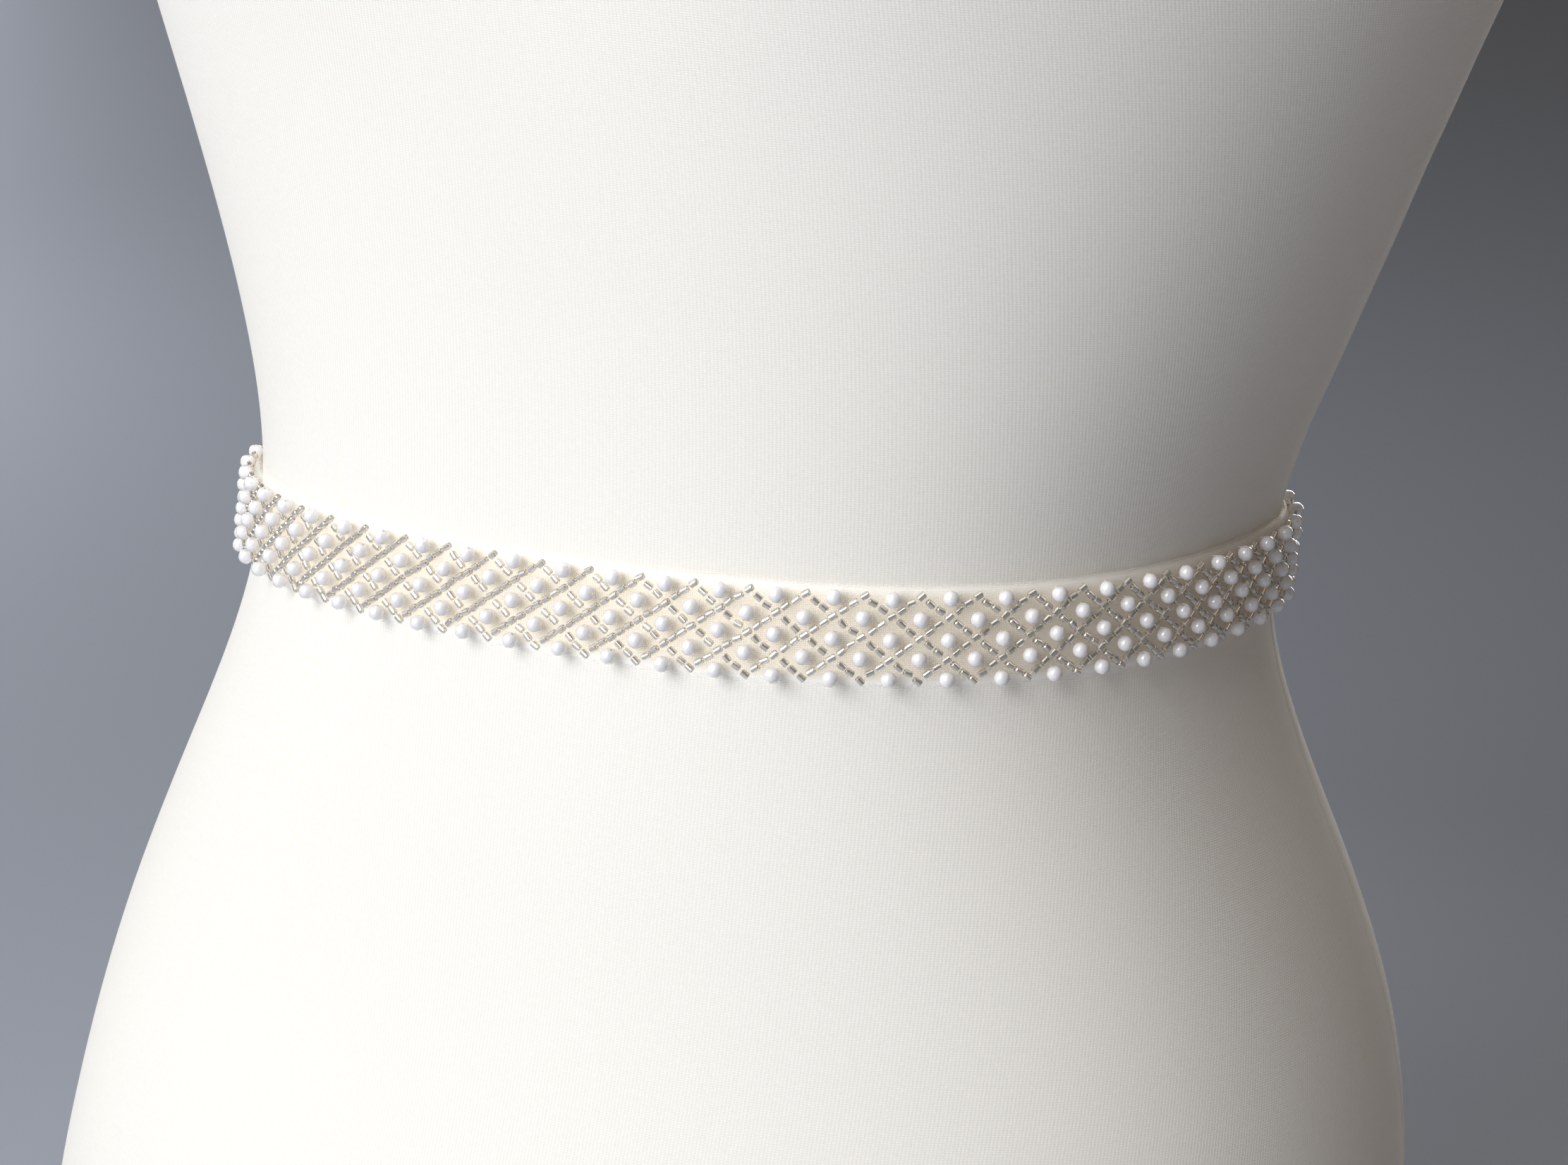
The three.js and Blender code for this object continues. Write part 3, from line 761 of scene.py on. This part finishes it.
edit_faces(
    tube, lambda face: is_wall(face) and from_axis(face) > (TUBE - TUBE_WALL) / 2, bevel_rims,
)
tube.data.materials.append(silver_lined)
tube.data.materials.append(clear_glass)
for face in tube.data.polygons:
    face.material_index = int(not is_wall(face))
choose_only(tube)
bpy.ops.object.shade_smooth_by_angle(angle=math.radians(40))
print("one tube:", len(tube.data.polygons), "faces")

# %% [markdown]
# ## The pattern
#
# The beadwork repeats every 11 mm. Rising lines of thirteen tubes cross the ribbon from its lower
# edge to its upper edge, two repeats further on. Falling lines cross them, with two tubes between
# one crossing and the next, because the tube at each crossing belongs to the rising line. A pearl
# sits in every diamond, and in every gap along both edges. Hands set each bead a little unevenly,
# so every place gets a small random shift and turn, from a fixed seed.

# %% Set out the beadwork
BEAD_SEED = 11
PEARL_ROW = 3.9 * MM
LATTICE_ROW = 4.1 * MM
BARE_END = 16 * MM
ROWS_UP = 2
CROSSINGS = 5
TUBES_BETWEEN = 3
SLOPE = math.atan2(LATTICE_ROW, PITCH / 2)
UNEVEN_SHIFT = 0.09 * MM
UNEVEN_TURN = 0.09
UNEVEN_TIP = 0.04
HOLE_SWAY = 0.5
RUN_SLACK = 0.1 * MM

chance = random.Random(BEAD_SEED)
beaded_half = sash_half - BARE_END
first_column = math.ceil((-beaded_half - PATTERN_SHIFT) / PITCH)
last_column = math.floor((beaded_half - PATTERN_SHIFT) / PITCH)
first_run = PATTERN_SHIFT + first_column * PITCH
last_run = PATTERN_SHIFT + last_column * PITCH


def uneven(amount):
    return chance.gauss(0, 1) * amount


def bead_place(run, height, out, turn):
    lean = Matrix.Rotation(turn, 4, "Z") @ Matrix.Rotation(uneven(UNEVEN_TIP), 4, "Y")
    shift = uneven(UNEVEN_SHIFT), uneven(UNEVEN_SHIFT)
    return sash_place(run + shift[0], height + shift[1], out) @ lean


def spun(places):
    return [place @ Matrix.Rotation(chance.uniform(0, math.pi), 4, "X") for place in places]


pearl_places = []
for column in range(first_column, last_column + 1):
    for row in range(-ROWS_UP, ROWS_UP + 1):
        run = PATTERN_SHIFT + column * PITCH + (PITCH / 2 if row % 2 == 0 else 0)
        if run < last_run + RUN_SLACK:
            hole_turn = math.pi / 2 + chance.uniform(-HOLE_SWAY, HOLE_SWAY)
            pearl_places.append(bead_place(run, row * PEARL_ROW, PEARL_LINE, hole_turn))

rising_places = []
falling_places = []
line_steps = (CROSSINGS - 1) * TUBES_BETWEEN
tube_seat = RIBBON_OUT + TUBE / 2
for column in range(first_column - ROWS_UP, last_column + 1):
    for step in range(line_steps + 1):
        run = PATTERN_SHIFT + column * PITCH + step * 2 * PITCH / line_steps
        if not first_run - RUN_SLACK < run < last_run + RUN_SLACK:
            continue
        height = (step / line_steps - 0.5) * (CROSSINGS - 1) * LATTICE_ROW
        turn = SLOPE + uneven(UNEVEN_TURN)
        if step == 0:
            falling_places.append(bead_place(run, height, tube_seat, -turn))
        else:
            rising_places.append(bead_place(run, height, tube_seat, turn))
        if step % TUBES_BETWEEN:
            falling_places.append(bead_place(run, -height, tube_seat, -turn))
print(len(pearl_places), "pearls,", len(rising_places) + len(falling_places), "tubes")

# %% [markdown]
# ## Copy the beads onto the ribbon
#
# Every bead is a copy with its own mesh, moved to its place and joined to its neighbours. Instances
# would be lighter, but joined meshes are real geometry in every program. The pearls, the rising
# tubes and the falling tubes are three pieces, so that each can be picked and changed alone. Real
# glass sends light on to the cloth below it, and this metal stand-in can't, so the tubes are set
# to cast no shadow. The pearls do cast one.

# %% Copy the pearls and tubes
pearls = copies_joined(pearl, spun(pearl_places), "pearls")
dress(pearls, [pearl_lacquer], ["sash_ribbon"])
rising_tubes = copies_joined(tube, spun(rising_places), "rising_tubes")
dress(rising_tubes, [silver_lined, clear_glass], ["sash_ribbon"])
falling_tubes = copies_joined(tube, spun(falling_places), "falling_tubes")
dress(falling_tubes, [silver_lined, clear_glass], ["sash_ribbon"])
rising_tubes.visible_shadow = falling_tubes.visible_shadow = False
discard(pearl)
discard(tube)

# %% [markdown]
# ## Thread
#
# One thread runs through each line of tubes and shows in the gaps between them. Another comes up
# beside each pearl, goes through its hole and down again, so every pearl has a low arch of thread.
# Both start as a short cylinder whose end is extruded again and again. The arch is bent by laying
# its rings along half a flattened oval, level through the hole and steep at the legs, which are
# pulled in a little as a tight stitch is. Beading
# thread has to pass the holes twice, so it is thinner than the thread that sews the hooks.

# %% Model the threads
BEADING_THREAD = 0.12 * MM
SEWING_THREAD = 0.2 * MM
ARCH_STEPS = 8
FLATNESS = 0.3
LEG_PULL = 0.3


def straight_thread(name, length, thickness, steps=1):
    part = length / steps
    bpy.ops.mesh.primitive_cylinder_add(
        vertices=5, radius=thickness / 2, depth=part, rotation=(0, math.pi / 2, 0),
        location=((part - length) / 2, 0, 0),
    )
    piece = named_piece(name)

    def lengthen():
        bpy.ops.mesh.extrude_region_move(TRANSFORM_OT_translate={"value": (part, 0, 0)})

    edit_faces(piece, lambda face: face.normal.x > 0.9, *[lengthen] * (steps - 1))
    choose_only(piece)
    bpy.ops.object.shade_smooth_by_angle(angle=math.radians(60))
    return piece


def arched_thread(name, half, height, thickness):
    """An arch with its crown at the origin and its two feet that far below it."""
    piece = straight_thread(name, 2 * half, thickness, ARCH_STEPS)
    for vertex in piece.data.vertices:
        angle = math.pi / 2 * vertex.co.x / half
        level = max(0.0, math.cos(angle)) ** FLATNESS
        tightened = 1 - LEG_PULL * (1 - level)
        middle = Vector((half * math.sin(angle) * tightened, 0, height * (level - 1)))
        outwards = Vector((math.sin(angle), 0, math.cos(angle)))
        vertex.co = middle + outwards * vertex.co.z + Vector((0, vertex.co.y, 0))
    print(name, len(piece.data.polygons), "faces")
    return piece


# %% Thread the tubes and the pearls
line_stitch = straight_thread("line_stitch", math.hypot(PITCH / 2, LATTICE_ROW), BEADING_THREAD)
line_places = []
for column in range(first_column - ROWS_UP, last_column + 1):
    for crossing in range(CROSSINGS - 1):
        run = PATTERN_SHIFT + column * PITCH + (crossing + 0.5) * PITCH / 2
        if first_run < run < last_run:
            height = (crossing + 0.5 - (CROSSINGS - 1) / 2) * LATTICE_ROW
            for way in (1, -1):
                lean = Matrix.Rotation(way * SLOPE, 4, "Z")
                line_places.append(sash_place(run, way * height, tube_seat) @ lean)
tube_thread = copies_joined(line_stitch, line_places, "tube_thread")
pearl_arch = arched_thread("pearl_arch", (PEARL + BEADING_THREAD) / 2, PEARL / 2, BEADING_THREAD)
pearl_thread = copies_joined(pearl_arch, pearl_places, "pearl_thread")
for thread in (tube_thread, pearl_thread):
    dress(thread, [thread_white], ["sash_ribbon"])
discard(line_stitch)
discard(pearl_arch)

# %% [markdown]
# ## Hooks, eyes and hems
#
# The sash is closed at the back by two hooks and two eyes of bent wire. Their solids are already
# bent to shape, so smooth copies of them stand in their places. Each has two loops that are sewn
# down by small stitches over the wire, and a row of straight stitches holds each folded hem.

# %% Smooth the wires
WIRE_FATTEN = 0.05 * MM

for place in ("upper", "lower"):
    for kind in ("eye", "hook"):
        node = f"{kind}_{place}"
        wire = smooth_copy(node, f"bent_{node}", WIRE_FATTEN)
        dress(wire, [nickel], [node])

# %% Sew the wires and the hems
WIRE_ROW = 5 * MM
WIRE_TOP = 3.05 * MM
WHIP_HALF = 0.55 * MM
WHIP_HEIGHT = 0.9 * MM
STITCH = 1.4 * MM
HEM_STITCHES = 7
HEM_EDGE = 0.8 * MM
# Each row gives a stitch over a wire: how far past the middle of the back and how far from the
# wire's own middle line, both in mm, and which way the thread crosses the wire, in radians.
WIRE_STITCHES = [
    {"past": -7.9, "aside": 2.75, "turn": 0.2},
    {"past": -6.2, "aside": 3.0, "turn": 1.3},
    {"past": -4.6, "aside": 1.95, "turn": 1.9},
    {"past": 8.15, "aside": 2.3, "turn": 0.0},
    {"past": 6.6, "aside": 2.65, "turn": 1.9},
    {"past": 5.2, "aside": 1.3, "turn": 0.8},
]

whip_stitch = arched_thread("whip_stitch", WHIP_HALF, WHIP_HEIGHT, SEWING_THREAD)
whip_places = []
for row in WIRE_STITCHES:
    for side in (1, -1):
        for middle in (WIRE_ROW, -WIRE_ROW):
            run = sash_round / 2 + row["past"] * MM
            place = sash_place(run, middle + side * row["aside"] * MM, WIRE_TOP)
            whip_places.append(place @ Matrix.Rotation(side * row["turn"], 4, "Z"))
wire_thread = copies_joined(whip_stitch, whip_places, "wire_thread")
hem_stitch = straight_thread("hem_stitch", STITCH, SEWING_THREAD)
hem_places = []
for way in (1, -1):
    for i in range(HEM_STITCHES):
        height = RIBBON_BOTTOM + (RIBBON_TOP - RIBBON_BOTTOM) * (i + 0.5) / HEM_STITCHES
        run = way * (sash_half - HEM + HEM_EDGE)
        out = cloth_out(run, height) + HEM_LIFT + SEWING_THREAD / 2
        hem_places.append(sash_place(run, height, out) @ Matrix.Rotation(math.pi / 2, 4, "Z"))
hem_thread = copies_joined(hem_stitch, hem_places, "hem_thread")
for thread in (wire_thread, hem_thread):
    dress(thread, [thread_white], ["sash_ribbon"])
discard(whip_stitch)
discard(hem_stitch)

# %% [markdown]
# ## The floor
#
# The form stands on a plain painted floor of pale cool grey. Matt paint has no clear reflection, so
# one flat plane with a rough finish is enough, and it is made wide so that its far edge is never
# near the form.

# %% Floor
floor_material, tree, shader = new_material("matt_painted_floor")
set_shader(tree, shader, Base_Color=colour("#a8afbe"), Roughness=0.8)
bpy.ops.mesh.primitive_plane_add(size=60)
floor = named_piece("floor")
floor.data.materials.append(floor_material)

# %% [markdown]
# ## The light
#
# A large softbox a little left of the front does most of the work, and the form's roundness shows
# because the light falls away to its right. The next three boxes are placed for the tubes. A
# polished cylinder mirrors only a narrow cone of the room, on the side away from the eye, so a box
# must stand in that cone: low at the left for the tubes at the left, and high in front for those at
# the right. A weak warm fill, like light thrown back by a wooden floor, and a small box behind keep
# the other sides of the form from going black.
# The boxes hang clear of the floor, or they would burn bright patches into it. A long lamp behind
# lifts the left of the background, and the room itself is a dim dome that is as dark at the horizon
# as the floor is, so no edge shows between them.

# %% Light
def add_softbox(name, turn, rise, distance, size, watts, tint="#ffffff", spread=180):
    """An area light that faces the waist, from a turn round the form and a rise above it in degrees.

    Its distance and its size, width by height, are in metres.
    """
    data = bpy.data.lights.new(name, "AREA")
    data.shape = "RECTANGLE"
    data.size, data.size_y = size
    data.energy = watts
    data.color = colour(tint)[:3]
    data.spread = math.radians(spread)
    light = bpy.data.objects.new(name, data)
    turn, rise = math.radians(turn), math.radians(rise)
    direction = Vector((
        math.sin(turn) * math.cos(rise), -math.cos(turn) * math.cos(rise), math.sin(rise),
    ))
    light.location = waist_centre + direction * distance
    light.rotation_euler = direction.to_track_quat("Z", "Y").to_euler()
    light.visible_camera = False
    bpy.context.scene.collection.objects.link(light)
    return light


SOFTBOXES = [
    {"name": "front_softbox", "turn": -12, "rise": 24, "distance": 1.9, "size": (1.3, 1.4), "watts": 34},
    {"name": "corner_softbox", "turn": -58, "rise": 18, "distance": 1.7, "size": (1.0, 0.9), "watts": 2.6},
    {"name": "side_softbox", "turn": -104, "rise": 14, "distance": 1.6, "size": (1.0, 0.7), "watts": 2.4},
    {"name": "high_softbox", "turn": -2, "rise": 60, "distance": 1.6, "size": (1.0, 0.6), "watts": 2.6},
    {"name": "fill", "turn": 108, "rise": 20, "distance": 1.4, "size": (0.6, 0.6), "watts": 0.8,
     "tint": "#ffd2a0"},
    {"name": "back_softbox", "turn": -168, "rise": 8, "distance": 0.85, "size": (0.6, 0.5), "watts": 0.5,
     "spread": 46},
]
for box in SOFTBOXES:
    add_softbox(**box)
lamp = add_softbox("background_lamp", turn=0, rise=0, distance=1, size=(0.3, 4.5), watts=20)
lamp.location = (-2.6, 2.1, 0.5)
lamp.rotation_euler = (0, 0, math.atan2(3.3, -2.7) - math.pi / 2)

world = bpy.data.worlds.new("room")
world.use_nodes = True
tree = world.node_tree
gaze = add_node(tree, "ShaderNodeTexCoord")
gaze_parts = add_node(tree, "ShaderNodeSeparateXYZ", {"Vector": gaze.outputs["Generated"]})
gaze_up = add_node(tree, "ShaderNodeMapRange", {"Value": gaze_parts.outputs["Z"]})
dome = add_node(tree, "ShaderNodeMix", {
    "Factor": gaze_up.outputs[0], "A": colour("#414142"), "B": colour("#6f6a61"),
}, data_type="RGBA")
tree.links.new(dome.outputs["Result"], tree.nodes["Background"].inputs["Color"])
bpy.context.scene.world = world
bpy.context.scene.view_settings.view_transform = "Standard"
